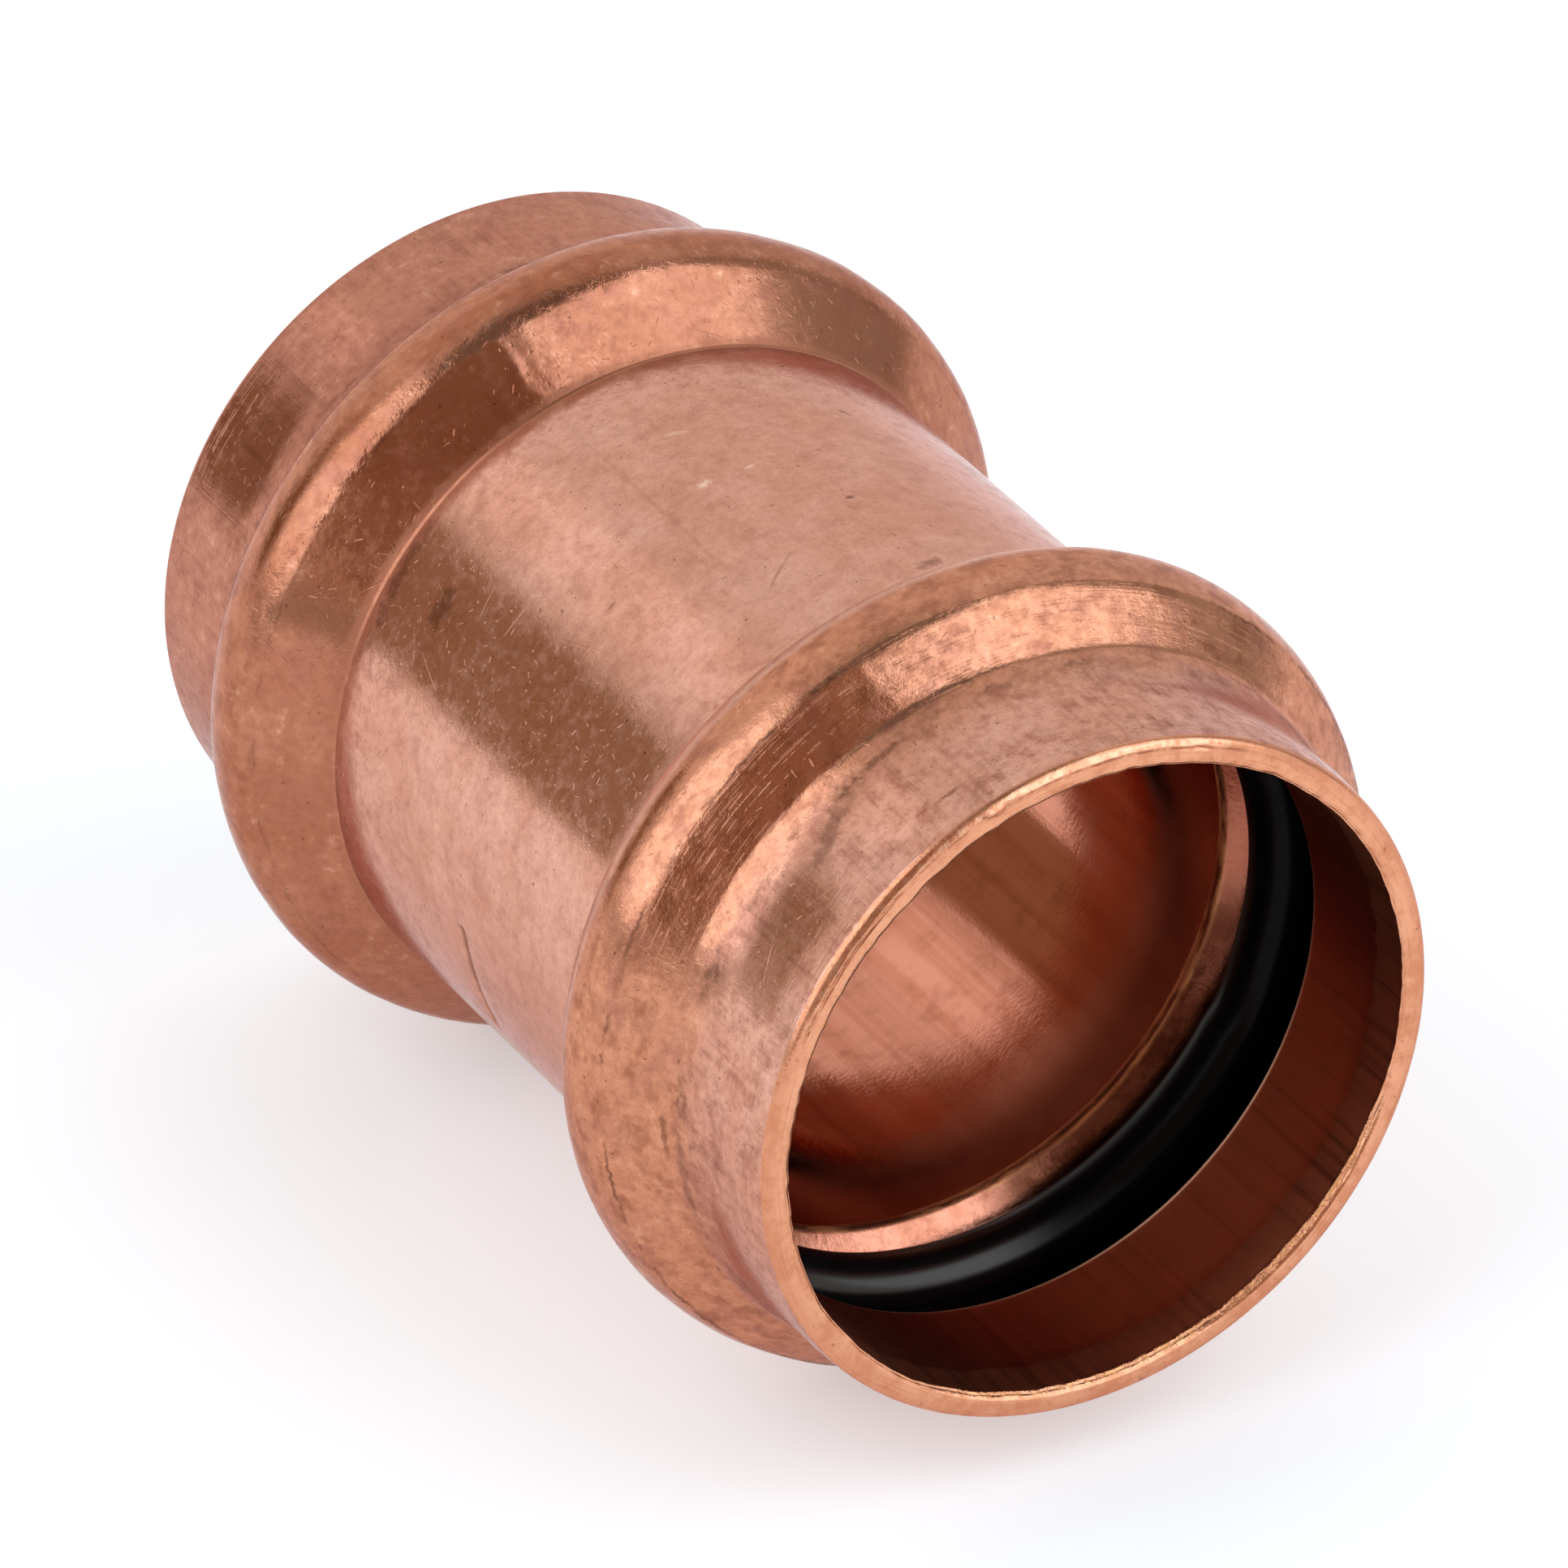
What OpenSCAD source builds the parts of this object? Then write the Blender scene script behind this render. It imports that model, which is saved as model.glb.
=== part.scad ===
// Straight press coupling for copper tube: a one-piece copper body with a bead near
// each end, and a rubber O-ring in the groove inside each bead.
// The coupling lies along Y. The origin is at its centre, on its axis, and +Z is up.

/* [Tube] */
// Outside diameter of the copper tube that the coupling joins
tube_od = 28.6; // [22:0.1:42]
// Radial play between the tube and the bore in the middle of the coupling
bore_play = 0.1; // [0.05:0.01:0.3]
// Radial play between the tube and the sleeve at each end
sleeve_play = 0.2; // [0.1:0.01:0.5]

/* [Body] */
// Length over both rims
overall_length = 51.6; // [46:0.1:70]
// Distance from each rim to the middle of the groove inside its bead
rim_to_bead = 10.7; // [9.5:0.1:12]
// Wall of the end sleeves, and of the beads where their grooves open
wall = 1.3; // [1:0.05:1.6]
// Wall at the top of the beads, where bulging has thinned it
bead_wall = 1; // [0.8:0.05:1.4]
// Wall of the tube between the beads
middle_wall = 1.12; // [0.9:0.02:1.5]

/* [Beads] */
// Slope of the outer flanks of the beads from the axis, in degrees
flank_angle = 44; // [38:1:50]
// Slope of the flanks of the grooves inside, steeper as the wall thins, in degrees
groove_angle = 54; // [48:1:58]
// Radius of the top of the beads on the side of the rim, where the die leaves an edge
crown_radius = 4.2; // [3.6:0.1:6]
// How far the top of each bead lies from the middle of its groove, towards mid-length
crown_offset = 0.2; // [0:0.05:0.3]
// Height that the flare of the sleeve gains before the flank starts
flare_height = 0.47; // [0.2:0.01:0.7]
// Radius of the hollow flare from the sleeve up to the flank
flare_radius = 7; // [4:0.5:9]
// Radius of the hollow fillet from the flank down to the middle tube
middle_fillet = 0.5; // [0.3:0.1:3]
// Radius of the rounded edges where the bore opens into the groove
groove_edge = 0.5; // [0.2:0.1:0.8]

/* [Rims] */
// Radius of the outer rounding of the rim
rim_outer_round = 0.55; // [0.3:0.05:0.7]
// Radius of the inner rounding of the rim
rim_inner_round = 0.15; // [0.05:0.05:0.5]
// Length of the slightly flared lead-in behind the rim
lead_in_length = 1.6; // [0.8:0.1:2.5]
// Radial flare of the lead-in at the rim
lead_in_flare = 0.05; // [0.02:0.01:0.15]

/* [O-rings] */
// Thickness of the cord of the O-rings
cord_diameter = 3; // [2.6:0.1:3.4]
// How far the O-ring reaches in past the surface of the tube, which squeezes it
ring_squeeze = 0.1; // [0:0.05:0.5]
// Free space between the O-ring and the top of its groove
groove_play = 0.4; // [0.1:0.05:0.6]
// Free space between the O-ring and each flank of its groove, if it lay in the middle
flank_play = 0.65; // [0.4:0.05:0.8]
// Space left between the O-ring and the flank that it lies against, on the middle's side
seat_play = 0.15; // [0.05:0.05:0.3]
// Depth of the notch in the O-ring through which water leaks until the bead is pressed
notch_depth = 0.45; // [0.2:0.05:0.7]
// Length of the notch around the O-ring, as an angle in degrees
notch_span = 14; // [8:1:24]
// Angle of the middle of the notch from the top, turning towards +X, in degrees
notch_angle = 122; // [0:1:360]

/* [Tube stops] */
// Number of dents around the middle, each of which stops both tubes
stop_count = 2; // [1:1:4]
// Angle of the middle of the first dent from the top, turning towards +X, in degrees
stop_angle = 73; // [0:1:180]
// Length of each dent around the body, as an angle in degrees
stop_span = 22; // [8:1:40]
// Height of the rib that each dent raises in the bore
rib_height = 0.8; // [0.5:0.05:1]
// Radius of the rounded top of the rib
rib_radius = 1.2; // [1:0.05:1.5]
// Radius of the narrow channel that the dent leaves outside, centred on the surface
dent_radius = 0.35; // [0.2:0.05:0.6]

/* [Hidden] */
$fn = 96;
// Steps in which each round stretch of the profile is drawn
arc_steps = 8;
// Share of the rim's width that each rounding may take, so that a thin wall keeps a flat
outer_round_share = 0.55;
inner_round_share = 0.35;

tube_radius = tube_od / 2;
half_length = overall_length / 2;
bead_place = half_length - rim_to_bead;
crown_place = bead_place - crown_offset;

middle_bore = tube_radius + bore_play;
middle_outside = middle_bore + middle_wall;
sleeve_bore = tube_radius + sleeve_play;
sleeve_outside = sleeve_bore + wall;

// The O-ring sets the groove, and the groove sets the bead
cord_radius = cord_diameter / 2;
ring_inside = tube_radius - ring_squeeze;
ring_radius = ring_inside + cord_radius;
groove_top = ring_radius + cord_radius + groove_play;
bead_top = groove_top + bead_wall;
groove_crown_radius = crown_radius - bead_wall;
groove_flank = cord_radius + flank_play;
ring_place = bead_place - (flank_play - seat_play) / sin(groove_angle);

rim_width = wall - lead_in_flare;
outer_round = min(rim_outer_round, rim_width * outer_round_share);
inner_round = min(rim_inner_round, rim_width * inner_round_share);
mouth_radius = sleeve_bore + lead_in_flare;

// A flank is a line at an angle from the axis, at a distance from the point on the
// radius ring_radius under the bead's top. This is how far along the axis it is
// from the bead's top at a given radius.
function flank_reach(distance, angle, radius) =
    (distance - (radius - ring_radius) * cos(angle)) / sin(angle);

// Angle of an arc over the bead's top, from the top to where it meets the flank
function crown_angle(distance, angle, top, round_radius) =
    angle - acos((distance - (top - round_radius - ring_radius) * cos(angle))
        / round_radius);

// Points of an arc, as [radius, place along the axis]; 0 degrees points away from the axis
function arc_points(centre, round_radius, from, to) = [
    for (i = [0 : arc_steps])
        let (angle = from + (to - from) * i / arc_steps)
            centre + round_radius * [cos(angle), sin(angle)]
];

sleeve_edge = flank_reach(groove_flank, groove_angle, sleeve_bore);
middle_edge = flank_reach(groove_flank, groove_angle, middle_bore);
edge_reach = groove_edge * tan(groove_angle / 2);
// The outer flank keeps the full wall at the edge where the groove opens
outer_flank = sleeve_edge * sin(flank_angle)
    + (sleeve_bore - ring_radius) * cos(flank_angle) + wall;

flare_angle = acos(1 - flare_height / flare_radius);
flare_end = bead_place
    + flank_reach(outer_flank, flank_angle, sleeve_outside + flare_height);
fillet_top = middle_outside + middle_fillet * (1 - cos(flank_angle));
fillet_start = bead_place - flank_reach(outer_flank, flank_angle, fillet_top)
    - middle_fillet * sin(flank_angle);
// What the shifted top adds to the distance of the flank on the side of the rim
flank_shift = crown_offset * sin(flank_angle);
bead_crown_angle = crown_angle(outer_flank + flank_shift, flank_angle, bead_top,
    crown_radius);
groove_crown_angle = crown_angle(groove_flank, groove_angle, groove_top,
    groove_crown_radius);
// Radius at which the top of the bead runs smoothly into its flank on the middle's side
shoulder_radius = (outer_flank - flank_shift
    - (bead_top - ring_radius) * cos(flank_angle)) / (1 - cos(flank_angle));

// Outside of one half, from the middle to the rim
outer_half = concat(
    arc_points([middle_outside + middle_fillet, fillet_start], middle_fillet,
        180, 180 - flank_angle),
    arc_points([bead_top - shoulder_radius, crown_place], shoulder_radius,
        -flank_angle, 0),
    arc_points([bead_top - crown_radius, crown_place], crown_radius,
        bead_crown_angle / arc_steps, bead_crown_angle),
    arc_points([sleeve_outside + flare_radius,
            flare_end + flare_radius * sin(flare_angle)], flare_radius,
        180 + flare_angle, 180),
    arc_points([sleeve_outside - outer_round, half_length - outer_round], outer_round,
        0, 90)
);

// Inside of one half, from the rim to the middle
inner_half = concat(
    arc_points([mouth_radius + inner_round, half_length - inner_round], inner_round,
        90, 180),
    [[sleeve_bore, half_length - lead_in_length]],
    arc_points([sleeve_bore + groove_edge, bead_place + sleeve_edge + edge_reach],
        groove_edge, 180, 180 + groove_angle),
    arc_points([groove_top - groove_crown_radius, bead_place], groove_crown_radius,
        groove_crown_angle, -groove_crown_angle),
    arc_points([middle_bore + groove_edge, bead_place - middle_edge - edge_reach],
        groove_edge, 180 - groove_angle, 180)
);

function mirrored(points) =
    [for (i = [len(points) - 1 : -1 : 0]) [points[i][0], -points[i][1]]];

// Turns what is made around Z so that it lies along Y
module lying() {
    rotate([-90, 0, 0]) children();
}

// Places one copy of its children at each tube stop
module at_stops() {
    for (i = [0 : stop_count - 1])
        rotate([0, 0, stop_angle - 90 - stop_span / 2 + i * 360 / stop_count])
            children();
}

// Rib inside the bore, rounded on top and buried in the wall
module stop_rib() {
    rotate_extrude(angle = stop_span)
        intersection() {
            translate([middle_bore - rib_height + rib_radius, 0])
                circle(r = rib_radius);
            translate([0, -rib_radius])
                square([middle_bore + middle_wall / 2, 2 * rib_radius]);
        }
}

// Channel that the dent leaves in the outside of the tube
module stop_channel() {
    rotate_extrude(angle = stop_span)
        translate([middle_outside, 0])
            circle(r = dent_radius);
}

module coupling_body() {
    color("#c98b70")
        lying()
            difference() {
                union() {
                    rotate_extrude()
                        polygon(concat(mirrored(outer_half), outer_half,
                            inner_half, mirrored(inner_half)));
                    at_stops() stop_rib();
                }
                at_stops() stop_channel();
            }
}

// O-ring in the groove of one bead, with its leak notch; side is -1 or 1
module o_ring(side) {
    color("#15161a")
        lying()
            translate([0, 0, side * ring_place])
                difference() {
                    rotate_extrude()
                        translate([ring_radius, 0])
                            circle(r = cord_radius);
                    rotate([0, 0, notch_angle - 90 - notch_span / 2])
                        rotate_extrude(angle = notch_span)
                            translate([ring_inside - notch_depth, -cord_radius])
                                square([2 * notch_depth, 2 * cord_radius]);
                }
}

module front_o_ring() {
    o_ring(-1);
}

module rear_o_ring() {
    o_ring(1);
}

coupling_body();
front_o_ring();
rear_o_ring();
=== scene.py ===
"""Straight press coupling of drawn copper tube with its two O-rings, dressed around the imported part.

The coupling lies along Y with its front mouth at -Y and +Z up. Angles around it are in
degrees from the top, turning towards +X. Shapes are worked out in millimetres and turned
to metres when a mesh is made.
"""

import math

import bpy
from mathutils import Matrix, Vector, noise


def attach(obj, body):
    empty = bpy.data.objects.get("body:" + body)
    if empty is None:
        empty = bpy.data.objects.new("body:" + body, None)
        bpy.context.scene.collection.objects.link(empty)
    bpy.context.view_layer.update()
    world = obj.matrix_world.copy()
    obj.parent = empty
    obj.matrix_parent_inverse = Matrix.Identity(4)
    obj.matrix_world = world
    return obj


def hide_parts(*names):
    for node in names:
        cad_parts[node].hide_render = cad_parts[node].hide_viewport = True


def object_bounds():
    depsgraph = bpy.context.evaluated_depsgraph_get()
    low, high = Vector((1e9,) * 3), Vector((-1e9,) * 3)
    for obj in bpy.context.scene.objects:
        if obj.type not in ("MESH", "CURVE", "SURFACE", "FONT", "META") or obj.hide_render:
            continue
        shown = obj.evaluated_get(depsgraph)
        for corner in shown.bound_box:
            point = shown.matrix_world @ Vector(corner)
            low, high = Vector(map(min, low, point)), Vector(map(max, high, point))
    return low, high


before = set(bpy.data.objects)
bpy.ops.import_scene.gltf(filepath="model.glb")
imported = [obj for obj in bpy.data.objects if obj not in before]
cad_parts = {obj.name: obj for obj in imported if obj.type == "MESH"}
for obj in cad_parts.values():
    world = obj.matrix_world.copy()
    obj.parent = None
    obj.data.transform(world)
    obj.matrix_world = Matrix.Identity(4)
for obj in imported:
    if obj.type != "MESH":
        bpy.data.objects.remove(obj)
cad_low, cad_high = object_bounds()

MM = 0.001


# ---------------------------------------------------------------- sizes, in millimetres

# The tube that the coupling joins, and the play around it
TUBE_RADIUS = 14.3
MIDDLE_PLAY = 0.1
SLEEVE_PLAY = 0.2

# The body: half its length, the place of its beads, its walls, bores and outsides
HALF_LENGTH = 25.8
RIM_TO_BEAD = 10.7
BEAD_PLACE = HALF_LENGTH - RIM_TO_BEAD
SLEEVE_WALL = 1.3
MIDDLE_WALL = 1.12
BEAD_WALL = 1.0
MIDDLE_BORE = TUBE_RADIUS + MIDDLE_PLAY
MIDDLE_OUTSIDE = MIDDLE_BORE + MIDDLE_WALL
SLEEVE_BORE = TUBE_RADIUS + SLEEVE_PLAY
SLEEVE_OUTSIDE = SLEEVE_BORE + SLEEVE_WALL
RIM_OUTER_ROUND = 0.5
RIM_INNER_ROUND = 0.1

# The O-rings, which the tube squeezes, and the play around them in their grooves
CORD_RADIUS = 1.5
RING_SQUEEZE = 0.1
GROOVE_PLAY = 0.4
FLANK_PLAY = 0.65
SEAT_PLAY = 0.15
RING_RADIUS = TUBE_RADIUS - RING_SQUEEZE + CORD_RADIUS

# The beads and the grooves inside them, with the slopes of their flanks from the axis
FLANK_ANGLE = math.radians(44)
GROOVE_ANGLE = math.radians(54)
GROOVE_FLANK = CORD_RADIUS + FLANK_PLAY
GROOVE_TOP = RING_RADIUS + CORD_RADIUS + GROOVE_PLAY
GROOVE_EDGE = 0.5
BEAD_TOP = GROOVE_TOP + BEAD_WALL
CROWN_RADIUS = 4.2
CROWN_OFFSET = 0.2
GROOVE_CROWN_RADIUS = CROWN_RADIUS - BEAD_WALL
RING_PLACE = BEAD_PLACE - (FLANK_PLAY - SEAT_PLAY) / math.sin(GROOVE_ANGLE)

# The flare from a sleeve up to the flank of its bead, and the fillet at the middle tube
FLARE_ANGLE = math.radians(18)
FLARE_RADIUS = 7
FLARE_FILLET = 1.2
MIDDLE_FILLET = 0.3

# Dented tube stops at mid-length: angles of their middles, and their size
STOP_ANGLES = (73, 253)
STOP_SPAN = 20
STOP_DEPTH = 0.34
STOP_WIDTH = 0.30
RIB_HEIGHT = 0.8
RIB_RADIUS = 1.2

# Leak notch of the O-rings: the angle of its deepest place, and how deep it is
NOTCH_ANGLE = 118
NOTCH_DEPTH = 0.14

# Crease that runs along the tube and shows where the beads stretched it
CREASE_ANGLE = 340.7

# Burrs that the cutter left on the rims, -1 the front and 1 the rear: from and to in degrees,
# height, radius and width
RIM_BURRS = {
    -1: [(297, 330, 0.07, 15.50, 0.09), (297, 331, -0.08, 15.33, 0.05),
         (330, 341, 0.05, 15.44, 0.07), (329, 341, -0.06, 15.31, 0.05),
         (338.5, 342.5, 0.12, 15.36, 0.12), (342, 385, 0.06, 15.43, 0.07),
         (344, 388, -0.05, 15.30, 0.05), (385, 402, 0.04, 15.45, 0.06),
         (295.5, 297.5, -0.12, 15.38, 0.09), (275, 277, -0.08, 15.5, 0.09),
         (376, 379, -0.10, 15.32, 0.09), (102, 103.5, 0.06, 14.9, 0.3)],
    1: [(20, 64, 0.07, 15.6, 0.08), (22, 60, -0.06, 15.46, 0.05),
        (150, 171, 0.06, 15.4, 0.07), (230, 282, 0.05, 15.5, 0.08),
        (318, 323, 0.1, 15.4, 0.09)],
}

# Points around the body, around a seal and around its cord
AROUND_BODY = 720
AROUND_SEAL = 600
AROUND_CORD = 64

# The zones of the body's surface, in the order of its materials
ZONES = ("outside", "rim", "bore")


def smooth(low, high, value):
    """0 at low and beyond, 1 at high and beyond, and a smooth change between."""
    share = min(1.0, max(0.0, (value - low) / (high - low)))
    return share * share * (3 - 2 * share)


def turned(angle, centre):
    """How far angle is past centre, from -180 to 180 degrees."""
    return (angle - centre + 180) % 360 - 180


def ragged(angle, along, grain, seed):
    """Even noise from -1 to 1 on the surface, with grain in millimetres."""
    turn = math.radians(angle)
    radius = SLEEVE_OUTSIDE / grain
    spot = Vector((radius * math.sin(turn), radius * math.cos(turn), along / grain))
    return noise.noise(spot + Vector((seed, 2.7 * seed, 1.3 * seed)))


# ---------------------------------------------------------------- profile of the copper body

def arc(centre, radius, start, end, steps):
    """Points on an arc as (radius, along); 0 degrees points away from the axis."""
    turns = [start + (end - start) * i / steps for i in range(steps + 1)]
    return [(centre[0] + radius * math.cos(t), centre[1] + radius * math.sin(t)) for t in turns]


def straight(start, end, spacing):
    """Points along a straight stretch, its two ends left out."""
    count = max(1, round(math.dist(start, end) / spacing))
    return [tuple(a + (b - a) * i / count for a, b in zip(start, end)) for i in range(1, count)]


def flank_reach(distance, angle, radius):
    """How far along the axis a flank is from the middle of its bead, at a radius.

    distance is from the flank to the centre of the O-ring's cord, if it lay in the middle.
    """
    return (distance - (radius - RING_RADIUS) * math.cos(angle)) / math.sin(angle)


def crown_angle(distance, angle, top, radius):
    """Angle of the arc over the bead's top, from the top to where it meets the flank."""
    drop = distance - (top - radius - RING_RADIUS) * math.cos(angle)
    return angle - math.acos(drop / radius)


def joined(*stretches):
    """The stretches in a row, with straight runs of points between them."""
    points = list(stretches[0])
    for stretch in stretches[1:]:
        points += straight(points[-1], stretch[0], 0.4) + list(stretch)
    return points


# From the middle of a bead to where the bores open into its groove
SLEEVE_EDGE = flank_reach(GROOVE_FLANK, GROOVE_ANGLE, SLEEVE_BORE)
MIDDLE_EDGE = flank_reach(GROOVE_FLANK, GROOVE_ANGLE, MIDDLE_BORE)


def outside_profile():
    """The outside of one half as (radius, along), from mid-length to the rim."""
    pi = math.pi
    # The outer flanks are a wall away from the sleeve's edge of the groove
    outer_flank = (SLEEVE_EDGE * math.sin(FLANK_ANGLE)
                   + (SLEEVE_BORE - RING_RADIUS) * math.cos(FLANK_ANGLE) + SLEEVE_WALL)
    fillet_top = MIDDLE_OUTSIDE + MIDDLE_FILLET * (1 - math.cos(FLANK_ANGLE))
    fillet_start = (BEAD_PLACE - flank_reach(outer_flank, FLANK_ANGLE, fillet_top)
                    - MIDDLE_FILLET * math.sin(FLANK_ANGLE))
    # A round shoulder towards mid-length, and a flatter crown that ends in an edge
    crown_place = BEAD_PLACE - CROWN_OFFSET
    flank_shift = CROWN_OFFSET * math.sin(FLANK_ANGLE)
    shoulder = ((outer_flank - flank_shift - (BEAD_TOP - RING_RADIUS) * math.cos(FLANK_ANGLE))
                / (1 - math.cos(FLANK_ANGLE)))
    crown = crown_angle(outer_flank + flank_shift, FLANK_ANGLE, BEAD_TOP, CROWN_RADIUS)
    # The flare goes over into the flank with a tighter fillet
    flare_lift = (FLARE_RADIUS - FLARE_FILLET) * math.cos(FLARE_ANGLE)
    fillet_middle = SLEEVE_OUTSIDE + FLARE_RADIUS - flare_lift
    flare_top = fillet_middle - FLARE_FILLET * math.cos(FLANK_ANGLE)
    fillet_place = (BEAD_PLACE + flank_reach(outer_flank, FLANK_ANGLE, flare_top)
                    + FLARE_FILLET * math.sin(FLANK_ANGLE))
    flare_place = fillet_place + (FLARE_RADIUS - FLARE_FILLET) * math.sin(FLARE_ANGLE)
    # Close rows where the tube stops are dented in
    stop_rows = [0.0, 0.05, 0.1, 0.15, 0.2, 0.26, 0.33, 0.42, 0.55, 0.75, 1.0]
    return joined(
        [(MIDDLE_OUTSIDE, t) for t in stop_rows],
        arc((MIDDLE_OUTSIDE + MIDDLE_FILLET, fillet_start), MIDDLE_FILLET,
            pi, pi - FLANK_ANGLE, 6),
        arc((BEAD_TOP - shoulder, crown_place), shoulder, -FLANK_ANGLE, 0, 14),
        arc((BEAD_TOP - CROWN_RADIUS, crown_place), CROWN_RADIUS, 0.03, crown, 10),
        arc((fillet_middle, fillet_place), FLARE_FILLET, pi + FLANK_ANGLE, pi + FLARE_ANGLE, 5),
        arc((SLEEVE_OUTSIDE + FLARE_RADIUS, flare_place), FLARE_RADIUS,
            pi + FLARE_ANGLE, pi, 10)[1:],
        arc((SLEEVE_OUTSIDE - RIM_OUTER_ROUND, HALF_LENGTH - RIM_OUTER_ROUND),
            RIM_OUTER_ROUND, 0, pi / 2, 13),
    )


def inside_profile():
    """The inside of one half as (radius, along), from the rim to mid-length."""
    pi = math.pi
    edge_reach = GROOVE_EDGE * math.tan(GROOVE_ANGLE / 2)
    crown = crown_angle(GROOVE_FLANK, GROOVE_ANGLE, GROOVE_TOP, GROOVE_CROWN_RADIUS)
    # Close rows where the tube stops stand in the bore
    rib_rows = [1.3, 1.13, 1.0, 0.85, 0.7, 0.55, 0.4, 0.27, 0.14, 0.0]
    return joined(
        arc((SLEEVE_BORE + RIM_INNER_ROUND, HALF_LENGTH - RIM_INNER_ROUND),
            RIM_INNER_ROUND, pi / 2, pi, 4),
        arc((SLEEVE_BORE + GROOVE_EDGE, BEAD_PLACE + SLEEVE_EDGE + edge_reach),
            GROOVE_EDGE, pi, pi + GROOVE_ANGLE, 6),
        arc((GROOVE_TOP - GROOVE_CROWN_RADIUS, BEAD_PLACE), GROOVE_CROWN_RADIUS,
            crown, -crown, 12),
        arc((MIDDLE_BORE + GROOVE_EDGE, BEAD_PLACE - MIDDLE_EDGE - edge_reach),
            GROOVE_EDGE, pi - GROOVE_ANGLE, pi, 6),
        [(MIDDLE_BORE, t) for t in rib_rows],
    )


def body_rows():
    """The whole outline from the front to the rear and back, as (zone, radius, along)."""
    outside = outside_profile()
    inside = inside_profile()
    cut_face = straight(outside[-1], inside[0], 0.05)
    rear = [(zone, radius, along) for zone, points in zip(ZONES, (outside, cut_face, inside))
            for radius, along in points]
    front = [(zone, radius, -along) for zone, radius, along in reversed(rear)]
    # The two halves share their rows at mid-length
    return rear[:-1] + front[:-1]


# ---------------------------------------------------------------- wear of the copper body

def stop_share(angle):
    """1 within a tube stop and 0 outside it, with rounded ends."""
    return max(1 - smooth(STOP_SPAN / 2 - 1.5, STOP_SPAN / 2 + 1, abs(turned(angle, middle)))
               for middle in STOP_ANGLES)


def outside_height(angle, along):
    """How far the outside stands proud of its profile, in millimetres."""
    height = 0.010 * ragged(angle, along, 9, 3) + 0.003 * ragged(angle, along, 2.2, 8)
    from_bead = abs(abs(along) - BEAD_PLACE)
    if from_bead < 4.8:
        # Rolling the bead leaves it a little uneven
        on_bead = 1 - smooth(3, 4.8, from_bead)
        height += on_bead * 0.022 * ragged(angle, along, 2.8, 12)
        height += on_bead * 0.012 * ragged(angle, along, 1.2, 14)
        # The crease stands out on the flanks, more on the rear bead
        off_crease = turned(angle, CREASE_ANGLE + 1.4 * ragged(0, along, 1.0, 61))
        crease = (0.030 if along > 0 else 0.012) * math.exp(-(off_crease / 0.9) ** 2)
        height += on_bead * smooth(0.8, 1.8, from_bead) * crease
    # The rims turn in a little, and the rear sleeve has a shallow step before its rim
    turned_in = 0.09 if along < 0 else 0.01
    height -= turned_in * smooth(HALF_LENGTH - 1.9, HALF_LENGTH - 0.3, abs(along))
    height -= 0.035 * smooth(HALF_LENGTH - 2.9, HALF_LENGTH - 2.35, along)
    # A tube stop is a narrow groove in a wide, shallow hollow
    if abs(along) < 1.2:
        share = stop_share(angle)
        height -= share * STOP_DEPTH * (1 - smooth(0, STOP_WIDTH, abs(along)))
        height -= share * 0.05 * (1 - smooth(0.2, 1.1, abs(along)))
    return height


def rim_height(angle, radius, side):
    """How far the cut rim stands out along the axis, in millimetres."""
    height = 0.006 * ragged(angle, radius, 1.2, 17 + side)
    # Fine tool lines around the face, and a slightly rounded outer half
    turn = math.radians(angle)
    height += 0.009 * noise.noise(Vector((5 * math.sin(turn), 5 * math.cos(turn), radius / 0.14)))
    height -= worn_edge(angle, side) * (1 - smooth(0.05, 0.34, radius - SLEEVE_BORE))
    height -= 0.05 * smooth(SLEEVE_BORE + 0.45, SLEEVE_OUTSIDE - 0.05, radius)
    for start, end, top, place, width in RIM_BURRS[side]:
        from_middle = abs(turned(angle, (start + end) / 2))
        half = (end - start) / 2
        if from_middle < half:
            torn = 0.8 + 0.7 * ragged(angle, place, 0.8, 31)
            place += 0.07 * ragged(angle, place, 1.3, 33)
            share = 1 - smooth(half * 0.7, half, from_middle)
            height += share * top * torn * math.exp(-(((radius - place) / width) ** 2))
    return height


def worn_edge(angle, side):
    """How far the inner edge of the rim is worn back, more in the lower half of the front."""
    worn = 0.10 + 0.08 * ragged(angle, 0, 0.7, 37)
    if side < 0:
        worn += 0.14 * smooth(95, 118, angle) * smooth(222, 205, angle)
    return worn


def inner_edge(angle, side):
    """How far the wavy inner edge of the rim stands into the bore, in millimetres."""
    wave = 0.045 * ragged(angle, 0, 2.6, 41 + side) + 0.02 * ragged(angle, 0, 0.8, 43 + side)
    return 0.03 + wave


def bore_depth(angle, along):
    """How far the inside lies behind its profile, in millimetres."""
    end = abs(along)
    from_bead = end - BEAD_PLACE
    depth = 0.005 * ragged(angle, along, 4, 23)
    # The bore opens softly towards the groove, after it has narrowed a little
    softness = 0.45
    opened = softness * math.log(1 + math.exp((from_bead + 6.2) / softness))
    depth += 0.045 * opened * smooth(-1.5, -3.7, from_bead)
    depth -= 0.006 * math.exp(-(((from_bead + 6.7) / 1.2) ** 2))
    # The mouth opens a little too
    depth += 0.04 * smooth(HALF_LENGTH - 2.4, HALF_LENGTH - 1.8, end)
    # The back flank of the groove is a little uneven
    uneven = smooth(-3.9, -3.2, from_bead) * smooth(-0.7, -1.3, from_bead)
    depth += uneven * 0.022 * ragged(angle, along, 1.9, 71)
    return depth


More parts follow.
